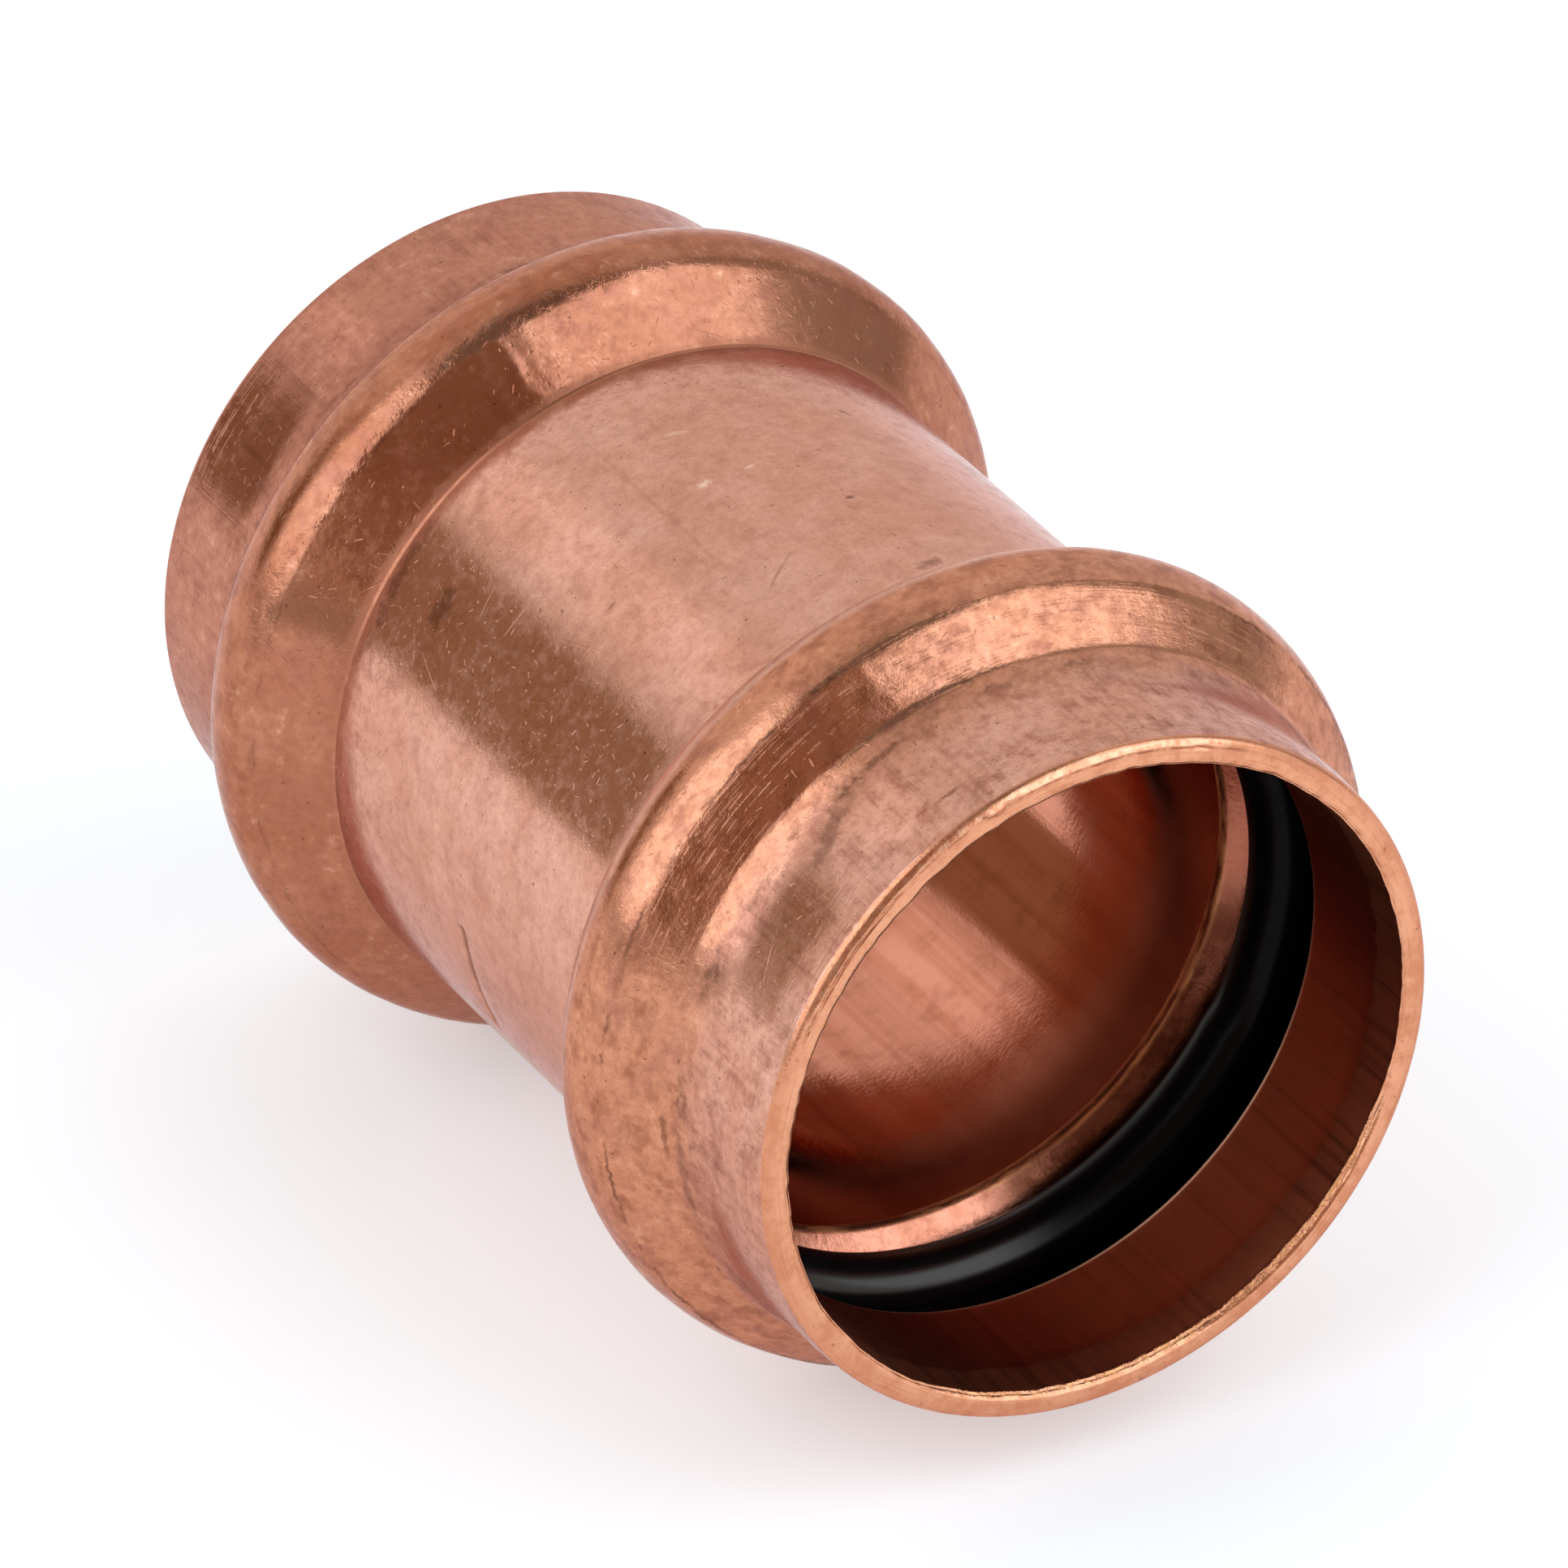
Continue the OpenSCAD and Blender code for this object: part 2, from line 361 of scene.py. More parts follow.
def worn_copper(angle, row):
    """Place of one point of the body as (radius, along), in millimetres."""
    zone, radius, along = row
    side = 1 if along > 0 else -1
    end = abs(along)
    out_at_rim = SLEEVE_OUTSIDE - RIM_OUTER_ROUND
    if zone == "outside":
        proud = outside_height(angle, along)
        if end > HALF_LENGTH - RIM_OUTER_ROUND:
            facing = smooth(SLEEVE_OUTSIDE, out_at_rim, radius)
            along += side * facing * rim_height(angle, radius, side)
        radius += proud
    elif zone == "rim":
        outward = smooth(SLEEVE_BORE, out_at_rim, radius) * outside_height(angle, along)
        inward = (1 - smooth(0.1, 0.35, radius - SLEEVE_BORE)) * inner_edge(angle, side)
        along += side * rim_height(angle, radius, side)
        radius += outward - inward
    else:
        radius += bore_depth(angle, along)
        # The wavy, worn edge fades out just inside the rim
        worn_from = HALF_LENGTH - 0.8
        if end > worn_from:
            near = smooth(worn_from, HALF_LENGTH - 0.1, end)
            radius -= inner_edge(angle, side) * near
            along -= side * worn_edge(angle, side) * near
        # The dents of the tube stops stand in the bore as round ribs
        if end < RIB_RADIUS:
            rib = RIB_HEIGHT - RIB_RADIUS + math.sqrt(RIB_RADIUS ** 2 - end ** 2)
            radius -= stop_share(angle) * max(0, rib)
    return radius, along


# ---------------------------------------------------------------- meshes

def lathe(name, rows, place, around):
    """A closed mesh turned around Y from a ring of rows; place gives (radius, along)."""
    points = []
    for row in rows:
        for k in range(around):
            angle = 360 * k / around
            radius, along = place(angle, row)
            turn = math.radians(angle)
            spot = (radius * math.sin(turn), along, radius * math.cos(turn))
            points.append([size * MM for size in spot])
    faces = []
    for j in range(len(rows)):
        here, beyond = j * around, (j + 1) % len(rows) * around
        for k in range(around):
            beside = (k + 1) % around
            faces.append((here + k, here + beside, beyond + beside, beyond + k))
    mesh = bpy.data.meshes.new(name)
    mesh.from_pydata(points, [], faces)
    mesh.validate()
    mesh.shade_smooth()
    made = bpy.data.objects.new(name, mesh)
    bpy.context.scene.collection.objects.link(made)
    return made


def make_body():
    """The one-piece copper body, its faces marked as outside, cut rim and bore."""
    rows = body_rows()
    made = lathe("copper_body", rows, worn_copper, AROUND_BODY)
    for j, row in enumerate(rows):
        beyond = rows[(j + 1) % len(rows)]
        zone = row[0] if row[0] == beyond[0] else "rim"
        # The rounded outer edge was cut too
        if min(abs(row[2]), abs(beyond[2])) > HALF_LENGTH - 0.85 * RIM_OUTER_ROUND:
            zone = "rim"
        for polygon in made.data.polygons[j * AROUND_BODY:(j + 1) * AROUND_BODY]:
            polygon.material_index = ZONES.index(zone)
    return made


def make_seal(name, side):
    """A moulded O-ring with its leak notch, side -1 for the front and 1 for the rear."""
    rows = [2 * math.pi * i / AROUND_CORD for i in range(AROUND_CORD)]

    def moulded(angle, turn):
        # The notch deepens slowly and ends steeply
        past = turned(angle, NOTCH_ANGLE)
        depth = smooth(-13, -1, past) * (1 - smooth(0, 4.5, past))
        inward = smooth(0.1, 0.9, -math.cos(turn))
        radius = RING_RADIUS + CORD_RADIUS * math.cos(turn)
        radius += depth * NOTCH_DEPTH * inward + 0.004 * ragged(angle, side * 4, 6, 51)
        return radius, side * RING_PLACE + CORD_RADIUS * math.sin(turn)

    return lathe(name, rows, moulded, AROUND_SEAL)


copper_body = make_body()
front_seal = make_seal("front_seal", -1)
rear_seal = make_seal("rear_seal", 1)

for piece, node, slot in (
    (copper_body, "coupling_body", "copper"),
    (front_seal, "front_o_ring", "seal_rubber"),
    (rear_seal, "rear_o_ring", "seal_rubber"),
):
    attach(piece, "root")
    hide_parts(node)


# ---------------------------------------------------------------- materials

def colour(hex_value):
    """Linear RGBA from an sRGB hex value such as "d9a893"."""
    shares = [int(hex_value[i:i + 2], 16) / 255 for i in (0, 2, 4)]
    return [c / 12.92 if c <= 0.04045 else ((c + 0.055) / 1.055) ** 2.4 for c in shares] + [1.0]


def add(tree, kind, inputs=None, **settings):
    """One node with its settings; an input is set, or linked to a socket or a node's output."""
    made = tree.nodes.new(kind)
    for key, value in settings.items():
        setattr(made, key, value)
    for key, value in (inputs or {}).items():
        if isinstance(value, bpy.types.Node):
            value = next(socket for socket in value.outputs if socket.enabled)
        if isinstance(value, bpy.types.NodeSocket):
            tree.links.new(value, made.inputs[key])
        else:
            made.inputs[key].default_value = value
    return made


def new_material(name):
    """An empty material and its node tree."""
    made = bpy.data.materials.new(name)
    made.use_nodes = True
    made.node_tree.nodes.clear()
    return made, made.node_tree


def sum_of(tree, *values):
    """The values added up."""
    total = values[0]
    for value in values[1:]:
        total = add(tree, "ShaderNodeMath", {0: total, 1: value}, operation="ADD")
    return total


def times(tree, *values):
    """The values multiplied."""
    total = values[0]
    for value in values[1:]:
        total = add(tree, "ShaderNodeMath", {0: total, 1: value}, operation="MULTIPLY")
    return total


def mask(tree, value, *edges, bottom=0.0, top=1.0):
    """bottom before an edge, (from, to), and top past it, changing smoothly; edges multiply."""
    masks = [add(tree, "ShaderNodeMapRange", {0: value, 1: low, 2: high, 3: bottom, 4: top},
                 interpolation_type="SMOOTHSTEP") for low, high in edges]
    return times(tree, *masks)


def coats(tree, base, *layers):
    """A colour with others laid over it in turn, each by its share."""
    for share, hex_value in layers:
        base = add(tree, "ShaderNodeMix", {0: share, 6: base, 7: colour(hex_value)},
                   data_type="RGBA").outputs[2]
    return base


class Surface:
    """Where a point of the coupling is, in millimetres, for patterns of real size."""

    def __init__(self, tree):
        self.tree = tree
        place = add(tree, "ShaderNodeTexCoord").outputs["Object"]
        self.spot = add(tree, "ShaderNodeVectorMath", {0: place, "Scale": 1 / MM},
                        operation="SCALE").outputs[0]
        x, self.along, z = add(tree, "ShaderNodeSeparateXYZ", {0: self.spot}).outputs
        # From mid-length, and from the middle of the nearer bead towards its rim
        self.end = add(tree, "ShaderNodeMath", {0: self.along}, operation="ABSOLUTE")
        self.from_bead = sum_of(tree, self.end, -BEAD_PLACE)
        self.turn = add(tree, "ShaderNodeMath", {0: x, 1: z}, operation="ARCTAN2")
        self.around = times(tree, self.turn, SLEEVE_OUTSIDE)
        self.unrolled = add(tree, "ShaderNodeCombineXYZ", {0: self.around, 1: self.along})
        flat = add(tree, "ShaderNodeCombineXYZ", {0: x, 1: z})
        self.radius = add(tree, "ShaderNodeVectorMath", {0: flat}, operation="LENGTH").outputs[1]

    def clouds(self, size, detail=4.0, rough=0.6, stretch=(1, 1, 1), shift=0.0):
        """Soft noise around 0.5, with clouds of a size in millimetres, longer by stretch."""
        scale = [1 / (size * longer) for longer in stretch]
        moved = add(self.tree, "ShaderNodeVectorMath", {0: self.spot, 1: scale, 2: (shift,) * 3},
                    operation="MULTIPLY_ADD")
        return add(self.tree, "ShaderNodeTexNoise",
                   {"Vector": moved, "Scale": 1.0, "Detail": detail, "Roughness": rough})

    def rings(self, size, detail=3.0, shift=0.0):
        """Tool marks around the axis, spaced by a size in millimetres."""
        return self.clouds(size, detail, 0.6, (60, 1, 60), shift)

    def drawn_lines(self, size, detail=3.0, shift=0.0):
        """Lines along the axis from drawing the tube, spaced by a size in millimetres."""
        return self.clouds(size, detail, 0.6, (1, 40, 1), shift)

    def scratches(self, cell, length, width, share, shift):
        """Short straight marks in all directions, one in a share of the cells, in millimetres."""
        tree = self.tree
        moved = add(tree, "ShaderNodeVectorMath",
                    {0: self.unrolled, 1: (1 / cell,) * 3, 2: (shift,) * 3},
                    operation="MULTIPLY_ADD")
        cells = add(tree, "ShaderNodeTexVoronoi", {"Vector": moved, "Scale": 1.0},
                    voronoi_dimensions="2D")
        offset = add(tree, "ShaderNodeVectorMath", {0: moved, 1: cells.outputs["Position"]},
                     operation="SUBTRACT")
        drawn = add(tree, "ShaderNodeSeparateColor", {0: cells.outputs["Color"]})
        angle = times(tree, drawn.outputs[0], math.pi)
        laid = add(tree, "ShaderNodeVectorRotate", {"Vector": offset, "Angle": angle},
                   rotation_type="Z_AXIS")
        parts = add(tree, "ShaderNodeSeparateXYZ", {0: laid})
        across, along = [add(tree, "ShaderNodeMath", {0: part}, operation="ABSOLUTE")
                         for part in parts.outputs[:2]]
        thin = mask(tree, across, (width / 2 / cell, 0.1 * width / cell))
        long = mask(tree, along, (length / 2 / cell, 0.2 * length / cell))
        kept = add(tree, "ShaderNodeMath", {0: drawn.outputs[1], 1: share},
                   operation="LESS_THAN")
        return times(tree, thin, long, kept, drawn.outputs[2])

    def mark(self, angle, along, length, width, tilt, strength):
        """A single soft mark at a place on the outside, its length tilted from around the body."""
        tree = self.tree
        middle = (math.radians(turned(angle, 0)) * SLEEVE_OUTSIDE, along, 0)
        offset = add(tree, "ShaderNodeVectorMath", {0: self.unrolled, 1: middle},
                     operation="SUBTRACT")
        laid = add(tree, "ShaderNodeVectorRotate",
                   {"Vector": offset, "Angle": -math.radians(tilt)}, rotation_type="Z_AXIS")
        sized = add(tree, "ShaderNodeVectorMath", {0: laid, 1: (2 / length, 2 / width, 0)},
                    operation="MULTIPLY")
        reach = add(tree, "ShaderNodeVectorMath", {0: sized}, operation="LENGTH").outputs[1]
        fray = mask(tree, self.clouds(0.6, 3.0, 0.7, shift=41.0), (0.3, 0.7), bottom=-0.35, top=0.35)
        return mask(tree, sum_of(tree, reach, fray), (1.1, 0.3), top=strength)

    def line_around(self, place, width, strength):
        """A soft, wandering line around the body, at a distance from the middle of each bead."""
        tree = self.tree
        wander = mask(tree, self.clouds(0.8, 4.0, 0.7, shift=23.0), (0.3, 0.7),
                      bottom=-0.7 * width, top=0.7 * width)
        offset = sum_of(tree, self.from_bead, -place, wander)
        reach = add(tree, "ShaderNodeMath", {0: offset}, operation="ABSOLUTE")
        return mask(tree, reach, (width, 0.0), top=strength)

    def over_angles(self, middle, half, fade):
        """1 over the angles around the axis within half of a middle, in degrees, else 0."""
        tree = self.tree
        offset = sum_of(tree, self.turn, -math.radians(middle))
        nearness = add(tree, "ShaderNodeMath", {0: offset}, operation="COSINE")
        low, high = [math.cos(math.radians(half + side * fade)) for side in (1, -1)]
        return mask(tree, nearness, (low, high))


def finish_metal(tree, base, rough, height):
    """Copper with its colour and roughness, its relief in millimetres and a pink edge tint."""
    relief = add(tree, "ShaderNodeBump", {"Strength": 1.0, "Distance": MM, "Height": height})
    metal = add(tree, "ShaderNodeBsdfPrincipled",
                {"Base Color": base, "Metallic": 1.0, "Roughness": rough, "Normal": relief,
                 "Specular Tint": colour("eedcda")})
    add(tree, "ShaderNodeOutputMaterial", {"Surface": metal})


# Small marks on the tube: angle, distance from mid-length, length, width, tilt and strength
DARK_MARKS = [
    (306.5, 6.7, 2.4, 1.3, 0, 0.5), (6.2, -9.06, 1.7, 0.8, 10, 0.6), (21, 4.5, 1.0, 0.35, -40, 0.6),
    (5.4, -2.95, 0.45, 0.35, 0, 0.7), (324.4, -1.55, 1.0, 0.22, 4, 0.5),
    (345.7, -6.2, 3.2, 0.22, 37, 0.35), (CREASE_ANGLE, 1.5, 0.3, 22, 0, 0.13),
    # (305, 10.1) is painted shade at the foot of the rear bead; (322, -20.8) and (334, -19.7) paint
    # the dark flag's reflection
    (305, 10.1, 6.5, 0.8, 4, 0.5), (322, -20.8, 5.0, 1.1, 24, 0.5), (334, -19.7, 3.2, 0.45, 3, 0.6),
    (259, -19.3, 7.0, 0.6, 0, 0.5), (338, -23.8, 1.6, 0.3, 0, 0.6), (265.5, -18.6, 1.8, 0.3, 0, 0.6),
]
PALE_MARKS = [
    (348.7, 1.29, 0.75, 0.55, 0, 0.9), (356.5, 1.2, 0.7, 0.3, 0, 0.6), (352, 5.3, 1.4, 0.4, -20, 0.4),
]
# Dark lines around the body: distance from the middle of a bead, half width and strength
# The first line, at the edge of the crown, is a painted dark reflection
DARK_LINES = [(1.62, 0.1, 1.0), (-1.8, 0.1, 0.5), (4.5, 0.5, 0.75)]


def grime_and_painted_shade(skin):
    """How much darker the tube stops, the lines by the beads and small marks are: dirt, painted shade
    and painted reflections.
    """
    tree = skin.tree
    stops = sum_of(tree, *[skin.over_angles(middle, STOP_SPAN / 2, 1.2) for middle in STOP_ANGLES])
    in_stops = times(tree, stops, mask(tree, skin.end, (STOP_WIDTH, 0.4 * STOP_WIDTH), top=0.8))
    patchy = mask(tree, skin.clouds(3.2, 4.0, 0.7, shift=27.0), (0.44, 0.62), top=0.8)
    in_lines = times(tree, patchy, sum_of(tree, *[skin.line_around(*line) for line in DARK_LINES]))
    total = sum_of(tree, in_stops, in_lines, *[skin.mark(*mark) for mark in DARK_MARKS])
    return add(tree, "ShaderNodeMath", {0: total, 1: 0.9}, operation="MINIMUM")


def pits_and_scratches(skin, worked, mottle):
    """Height of the small damage on the outside, in millimetres; rolling closed the pits."""
    tree = skin.tree
    pits = times(tree, skin.scratches(0.5, 0.15, 0.11, 0.3, 17.3),
                 mask(tree, worked, (0, 1), bottom=-0.006, top=-0.002))
    fine = times(tree, skin.scratches(0.75, 0.4, 0.055, 0.5, 0.3), -0.007)
    finer = times(tree, skin.scratches(0.4, 0.2, 0.045, 0.35, 4.1),
                  mask(tree, mottle, (0.35, 0.6), top=-0.005))
    long = times(tree, skin.scratches(3.1, 2.4, 0.06, 0.5, 9.7), -0.005)
    return sum_of(tree, pits, fine, finer, long)


# Hard-drawn copper tube, pickled and tumbled: satin, pinkish where it was only drawn and
# deeper orange where rolling the beads worked it, with a thin mottled oxide
def drawn_copper():
    made, tree = new_material("drawn_copper")
    skin = Surface(tree)
    broad = skin.clouds(4.5, 5.0, 0.62)
    medium = skin.clouds(1.6, 5.0, 0.66, shift=7.0)
    mottle = skin.clouds(0.6, 5.0, 0.7, shift=19.0)
    grain = skin.clouds(0.17, 3.0, 0.65, shift=3.0)

    # The edges of what was worked or heated waver
    uneven = mask(tree, medium, (0.3, 0.7), bottom=-0.5, top=0.5)
    wavering = sum_of(tree, skin.from_bead, uneven)
    # Rolling worked the copper from the top of each bead to where its sleeve begins
    worked = mask(tree, wavering, (-1.9, -0.9), (6.5, 3.4))
    by_rim = mask(tree, wavering, (RIM_TO_BEAD - 2.6, RIM_TO_BEAD - 1.9))
    on_flank = mask(tree, skin.from_bead, (1.3, 1.7), (4.3, 3.5))
    on_sleeve = mask(tree, skin.from_bead, (4.1, 5.1))
    # The rear bead and sleeve took more heat and are darker, but for a band on the bead's crown
    rear = mask(tree, sum_of(tree, skin.along, times(tree, uneven, 0.4)),
                (BEAD_PLACE - 5.2, BEAD_PLACE - 4.3))
    spared = mask(tree, skin.from_bead, (-0.4, 0.4), (2.5, 1.8))
    heated = times(tree, rear, mask(tree, spared, (0, 1), bottom=0.75, top=0.1))
    rear_bead = times(tree, rear, mask(tree, wavering, (0.9, -0.3), top=0.6))
    # The corners by the middle tube are rougher, and painted shade darkens the rear one
    in_corner = mask(tree, skin.from_bead, (-5.5, -4.3), (-3.9, -4.2))
    # The upper back of the front bead is rougher and has a painted highlight, paler towards the top
    matt_painted_highlight = times(tree, mask(tree, skin.along, (1, -1)),
                 mask(tree, skin.from_bead, (-0.5, -1.2), (-3.7, -1.9)),
                 mask(tree, skin.over_angles(10, 75, 30), (0, 1), bottom=0.35))
    # The middle was only drawn, so it is the most even
    varied = mask(tree, skin.from_bead, (-6.1, -3.6), bottom=0.5)

    blotches = times(tree, varied, mask(tree, medium, (0.50, 0.66), top=0.6))
    # Oxide smeared along by the rolling
    smeared = skin.clouds(0.75, 5.0, 0.6, (1.8, 1, 1.8), 43.0)
    smears = times(tree, worked, mask(tree, smeared, (0.47, 0.66), top=0.5))
    dull = mask(tree, mottle, (0.42, 0.68))
    oxide = times(tree, dull, mask(tree, varied, (0.5, 1), bottom=0.2, top=0.35))
    specks = mask(tree, skin.clouds(0.35, 2.0, 0.6, shift=31.0), (0.69, 0.75), top=0.55)
    pale = times(tree, mask(tree, mottle, (0.46, 0.3)), mask(tree, medium, (0.55, 0.4), top=0.32))
    streaks = times(tree, mask(tree, skin.drawn_lines(0.3, 3.0, 9.0), (0.45, 0.7)),
                    mask(tree, on_sleeve, (0, 1), bottom=0.05, top=0.4),
                    mask(tree, medium, (0.38, 0.6)))
    base = coats(
        tree, colour("dca38e"),
        (worked, "cf8c6b"),
        (heated, "b1705a"),
        (rear_bead, "a56340"),
        (mask(tree, broad, (0.42, 0.62), top=0.45), "c98a6c"),
        (blotches, "ad6e5c"),
        (smears, "8e5138"),
        (oxide, "935743"),
        (mask(tree, grain, (0.45, 0.66), top=0.14), "8c5440"),
        (specks, "5e3424"),
        (pale, "efc0a4"),
        (streaks, "85503c"),
        (times(tree, in_corner, rear, 0.5), "a86a50"),
        (times(tree, matt_painted_highlight, 0.7), "f2c4ae"),
        (grime_and_painted_shade(skin), "6b4030"),
        (sum_of(tree, *[skin.mark(*mark) for mark in PALE_MARKS]), "f6cdb8"),
    )

    turned_marks = times(tree, sum_of(tree, on_flank, by_rim),
                         mask(tree, skin.rings(0.09, 3.0, 13.0), (0.54, 0.7)),
                         mask(tree, mottle, (0.4, 0.6), top=-0.009))
    height = sum_of(
        tree, pits_and_scratches(skin, worked, mottle), turned_marks,
        times(tree, grain, mask(tree, worked, (0, 1), bottom=0.002, top=0.006)),
        times(tree, mottle, mask(tree, worked, (0, 1), bottom=0.0045, top=0.014)),
        times(tree, medium, mask(tree, worked, (0, 1), bottom=0.010, top=0.02)),
        times(tree, skin.drawn_lines(0.14), on_sleeve, 0.0045),
        times(tree, skin.rings(0.10, shift=5.0), worked, 0.004))
    rough = sum_of(
        tree, 0.13, times(tree, worked, 0.02), times(tree, on_sleeve, 0.03),
        times(tree, dull, 0.12), mask(tree, medium, (0.45, 0.7), top=0.05),
        times(tree, in_corner, 0.15), times(tree, matt_painted_highlight, 0.18))
    finish_metal(tree, base, rough, height)
    return made


# Copper as the cutter left it: freshly cut, so lighter and peach, with fine tool marks
def cut_copper():
    made, tree = new_material("cut_copper")
    skin = Surface(tree)
    mottle = skin.clouds(1.1, 5.0, 0.68)
    grain = skin.clouds(0.16, 3.0, 0.6, shift=3.0)
    front = mask(tree, skin.along, (1, -1))
    # The outer, rounded part of the rim is darkened by painted shade
    outer = mask(tree, skin.radius, (14.9, 15.6), top=0.5)
    stain = mask(tree, skin.clouds(0.6, 4.0, 0.7, shift=13.0), (0.60, 0.72), top=0.6)
    broken = mask(tree, skin.clouds(0.45, 4.0, 0.7, shift=17.0), (0.42, 0.56))
    # The torn burr and the worn lower edge have a painted golden glint, and a painted shadow lies
    # beside the burr
    burr_glint = times(tree, front, skin.over_angles(340, 43, 3), broken,
                 mask(tree, skin.radius, (15.34, 15.42), (15.62, 15.54)))
    shaded = times(tree, front, skin.over_angles(340, 46, 4),
                   mask(tree, skin.radius, (15.2, 15.28), (15.38, 15.32)),
                   mask(tree, mottle, (0.4, 0.55)))
    worn_edge_glint = times(tree, front, skin.over_angles(162, 46, 6), broken,
                 mask(tree, skin.radius, (14.72, 14.60)))
    # Tool lines run around the rim: 0.12 mm apart, and several millimetres long
    polar = add(tree, "ShaderNodeCombineXYZ", {0: skin.around, 2: skin.radius})
    drawn_out = add(tree, "ShaderNodeVectorMath", {0: polar, 1: (0.25, 0.25, 1 / 0.12)},
                    operation="MULTIPLY")
    lines = add(tree, "ShaderNodeTexNoise",
                {"Vector": drawn_out, "Scale": 1.0, "Detail": 4.0, "Roughness": 0.65})
    base = coats(
        tree, colour("e6a27e"),
        (mask(tree, mottle, (0.4, 0.66)), "d48c68"),
        (outer, "c98260"),
        (mask(tree, lines, (0.5, 0.68), top=0.45), "b06f50"),
        (stain, "804c36"),
        (times(tree, shaded, 0.6), "7c4630"),
        (times(tree, burr_glint, 0.5), "f6c4a0"),
        (times(tree, worn_edge_glint, 0.65), "fbb67c"),
        # The rear rim is older and duller
        (mask(tree, skin.along, (-1, 1), top=0.6), "a4664c"),
    )
    height = sum_of(tree, times(tree, grain, 0.008), times(tree, mottle, 0.02),
                    times(tree, lines, 0.009), times(tree, broken, worn_edge_glint, 0.02))
    rough = sum_of(tree, mask(tree, mottle, (0.35, 0.65), bottom=0.18, top=0.32),
                   times(tree, worn_edge_glint, 0.12))
    finish_metal(tree, base, rough, height)
    return made


# The inside of the drawn tube: streaked along the axis, and browner in the sleeves
def bore_copper():
    made, tree = new_material("bore_copper")
    skin = Surface(tree)
    mottle = skin.clouds(1.3, 5.0, 0.65)
    grain = skin.clouds(0.2, 3.0, 0.6, shift=3.0)
    fine = skin.clouds(0.5, 4.0, 0.7, shift=11.0)
    streaks = skin.drawn_lines(0.9, 4.0, 6.0)

    uneven = mask(tree, mottle, (0.3, 0.7), bottom=-0.15, top=0.15)
    by_rim = mask(tree, sum_of(tree, skin.from_bead, uneven),
                  (RIM_TO_BEAD - 2.3, RIM_TO_BEAD - 2.0))
    in_sleeve = mask(tree, skin.from_bead, (3.1, 3.9))
    in_groove = mask(tree, skin.from_bead, (-3.8, -3.5), (3.2, 3.0))
    # Towards the groove the bore is duller, and from further off painted shade darkens it
    dulled = mask(tree, skin.from_bead, (-9.6, -6.6), (-3.6, -3.8))
    painted_bore_shade = mask(tree, skin.from_bead, (-12.1, -5.6), (-3.6, -3.8))
    # The sleeve's edge of the groove has a painted glint, and the other one is rough and rubbed, with
    # a painted golden glint
    edge_glint = mask(tree, skin.from_bead, (3.0, 3.2), (3.8, 3.5))
    rubbed_glint = times(tree, mask(tree, skin.from_bead, (-4.0, -3.85), (-3.4, -3.65)),
                   mask(tree, skin.clouds(0.5, 4.0, 0.65, (5, 1, 5), 29.0), (0.44, 0.6), bottom=0.4))
    # Drag marks in the sleeve, most of them by the rim
    dragged = times(tree, in_sleeve, mask(tree, skin.drawn_lines(0.5, 5.0, 9.0), (0.46, 0.72)),
                    mask(tree, by_rim, (0, 1), bottom=0.3, top=0.65))
    smeared = mask(tree, skin.clouds(0.9, 5.0, 0.65, (2.5, 1, 2.5), 37.0), (0.42, 0.62))
    # A painted dark reflection lies in the lower half of the groove
    painted_dark_reflection = times(tree, in_groove, skin.over_angles(134, 32, 7),
                  mask(tree, smeared, (0, 1), bottom=0.85))
    base = coats(
        tree, colour("d38b71"),
        (mask(tree, streaks, (0.42, 0.66)), "c47c61"),
        (times(tree, in_sleeve, 0.95), "8f5037"),
        # Painted shadow of the rim's burr darkens the sleeve by the rim
        (times(tree, by_rim, 0.8), "935a3f"),
        (mask(tree, mottle, (0.48, 0.72), top=0.25), "7a4630"),
        (dragged, "4a2818"),
        (edge_glint, "f2c0a0"),
        (times(tree, painted_bore_shade, 0.8), "90543f"),
        (times(tree, in_groove, smeared, 0.3), "a86a50"),
        (times(tree, in_groove, mask(tree, fine, (0.5, 0.66), top=0.4)), "8a4c38"),
        # Painted shade darkens the groove around 85 degrees
        (times(tree, in_groove, skin.over_angles(85, 32, 8), 0.75), "985442"),
        (times(tree, painted_dark_reflection, 0.95), "4e2618"),
        (times(tree, rubbed_glint, 0.8), "f2a872"),
    )
    height = sum_of(
        tree, times(tree, grain, 0.002), times(tree, mottle, 0.003),
        times(tree, skin.drawn_lines(0.16), 0.001), times(tree, streaks, 0.0015),
        times(tree, fine, in_groove, 0.014), times(tree, rubbed_glint, 0.004))
    rough = sum_of(
        tree, 0.10, mask(tree, mottle, (0.4, 0.7), top=0.05), times(tree, in_sleeve, 0.22),
        times(tree, edge_glint, 0.12), times(tree, by_rim, 0.10), times(tree, rubbed_glint, 0.38),
        times(tree, dulled, 0.12), times(tree, in_groove, 0.09))
    finish_metal(tree, base, rough, height)
    return made


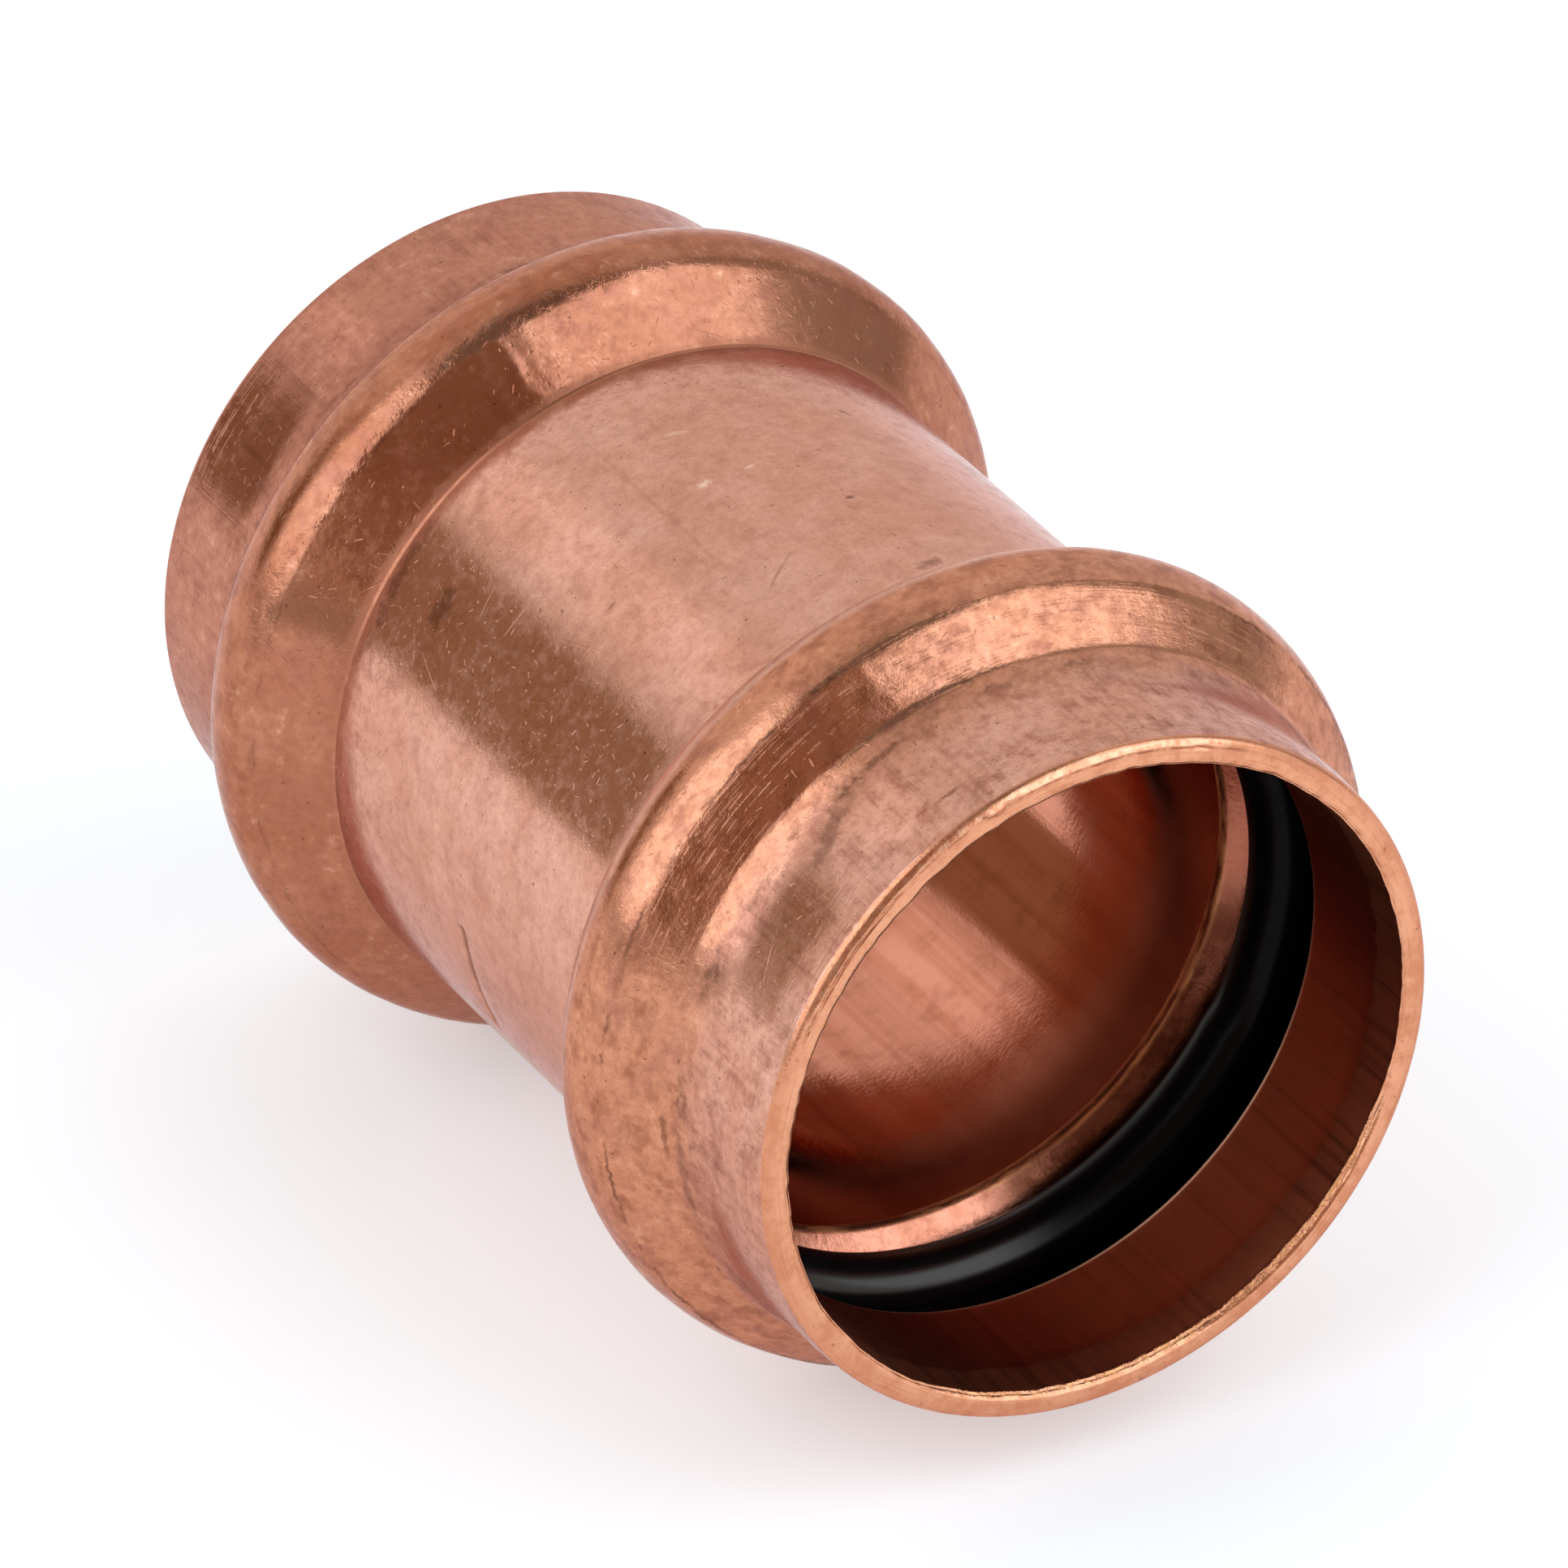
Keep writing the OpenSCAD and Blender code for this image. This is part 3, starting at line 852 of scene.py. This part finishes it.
# Moulded EPDM with a trace of lubricant: black, and glossy at a low angle
def epdm_rubber():
    made, tree = new_material("epdm_rubber")
    skin = Surface(tree)
    bloom = skin.clouds(2.0, 4.0, 0.6)
    grain = skin.clouds(0.12, 2.0, 0.5, shift=3.0)
    # A film of lubricant has run to the lower left
    film = skin.over_angles(196, 20, 18)
    relief = add(tree, "ShaderNodeBump",
                 {"Strength": 1.0, "Distance": MM, "Height": times(tree, grain, 0.0015)})
    rubber = add(tree, "ShaderNodeBsdfPrincipled", {
        "Base Color": coats(tree, colour("08080a"), (mask(tree, bloom, (0.4, 0.7)), "0e0e10")),
        "Roughness": mask(tree, film, (0, 1), bottom=0.28, top=0.24),
        "IOR": 1.5,
        "Specular IOR Level": mask(tree, film, (0, 1), bottom=0.07, top=0.5),
        "Specular Tint": colour("fff3e8"),
        "Normal": relief,
    })
    add(tree, "ShaderNodeOutputMaterial", {"Surface": rubber})
    return made


def softbox_cloth(name, strength, tint):
    """A card or a softbox's cloth that gives off even light."""
    made, tree = new_material(name)
    glow = add(tree, "ShaderNodeEmission", {"Color": colour(tint), "Strength": strength})
    add(tree, "ShaderNodeOutputMaterial", {"Surface": glow})
    return made


for finish in (drawn_copper, cut_copper, bore_copper):
    copper_body.data.materials.append(finish())
rubber = epdm_rubber()
for seal in (front_seal, rear_seal):
    seal.data.materials.append(rubber)


# ---------------------------------------------------------------- floor, light and camera

# From the middle of the coupling, in metres
CARD_DISTANCE = 0.6


def floor():
    """A white sheet of paper, lit up a little so that it stays white around the shadow."""
    bpy.ops.mesh.primitive_plane_add(size=8, location=(0, 0, cad_low.z))
    made = bpy.context.object
    made.name = "floor"
    paper, tree = new_material("white_paper")
    sheet = add(tree, "ShaderNodeBsdfDiffuse", {"Color": colour("e2e2e2")})
    path = add(tree, "ShaderNodeLightPath").outputs
    seen = sum_of(tree, path["Is Camera Ray"], path["Is Glossy Ray"], path["Is Transmission Ray"])
    glow = add(tree, "ShaderNodeEmission", {"Strength": times(tree, seen, 0.34)})
    both = add(tree, "ShaderNodeAddShader", {0: sheet, 1: glow})
    add(tree, "ShaderNodeOutputMaterial", {"Surface": both})
    made.data.materials.append(paper)


def card(name, azimuth, elevation, strength, tint="ffffff", lean=0):
    """A curved card around the object, its sides in degrees; azimuth 0 is at +Y, 90 at +X.

    lean moves the upper end of its first side, in degrees.
    """
    steps = 12
    points, faces = [], []
    for j in range(steps + 1):
        up = math.radians(elevation[0] + (elevation[1] - elevation[0]) * j / steps)
        start = azimuth[0] + lean * j / steps
        for i in range(steps + 1):
            around = math.radians(start + (azimuth[1] - start) * i / steps)
            towards = (math.cos(up) * math.sin(around), math.cos(up) * math.cos(around), math.sin(up))
            points.append([CARD_DISTANCE * share for share in towards])
    for j in range(steps):
        for i in range(steps):
            corner = j * (steps + 1) + i
            above = corner + steps + 1
            faces.append((corner, corner + 1, above + 1, above))
    mesh = bpy.data.meshes.new(name)
    mesh.from_pydata(points, [], faces)
    made = bpy.data.objects.new(name, mesh)
    bpy.context.scene.collection.objects.link(made)
    made.data.materials.append(softbox_cloth(name + "_cloth", strength, tint))
    made.visible_camera = False


floor()
# The softboxes give a slightly cool light, and the dark cards are brown
card("left_softbox", (-118, -57), (8, 61), 2.4, "e8f4ff", lean=-20)
card("right_softbox", (108, 179), (13, 61), 2.4, "e8f4ff")
card("dark_flag", (-47, -30), (-3, 26.5), 0.33, "ffd8ae")
card("photographer", (180, 210), (-3, 61), 0.36, "ffd5bc")
card("photographer_side", (210, 236), (-3, 61), 0.37, "ffd5bc")
card("table_edge", (-127, -57), (-3, 7.5), 0.6)
card("back_reflector", (-30, -14), (29, 50), 1.15)
card("right_wall", (46, 84), (-3, 61), 1.0, "f2f8ff")
card("right_corner", (84, 107), (-3, 61), 0.5)
card("front_ceiling", (100, 260), (61.5, 90), 0.27)
card("back_ceiling", (-99, 99), (61.5, 76), 0.86)
card("top_ceiling", (-99, 99), (76, 90), 0.56)

# An even white room lights what the cards leave open
studio = bpy.data.worlds.new("studio")
studio.use_nodes = True
room = studio.node_tree.nodes["Background"].inputs
room["Color"].default_value = (1, 1, 1, 1)
room["Strength"].default_value = 0.93
bpy.context.scene.world = studio

# A long lens that looks down 31.8 degrees from the left of the front mouth
camera = bpy.data.objects.new("camera", bpy.data.cameras.new("camera"))
bpy.context.scene.collection.objects.link(camera)
camera.location = (-0.2763, -0.4796, 0.3436)
camera.rotation_euler = (math.radians(90 - 31.80), 0, math.radians(-29.95))
camera.data.sensor_width = 36
camera.data.lens = 357.7
bpy.context.scene.camera = camera
bpy.context.scene.view_settings.view_transform = "Standard"
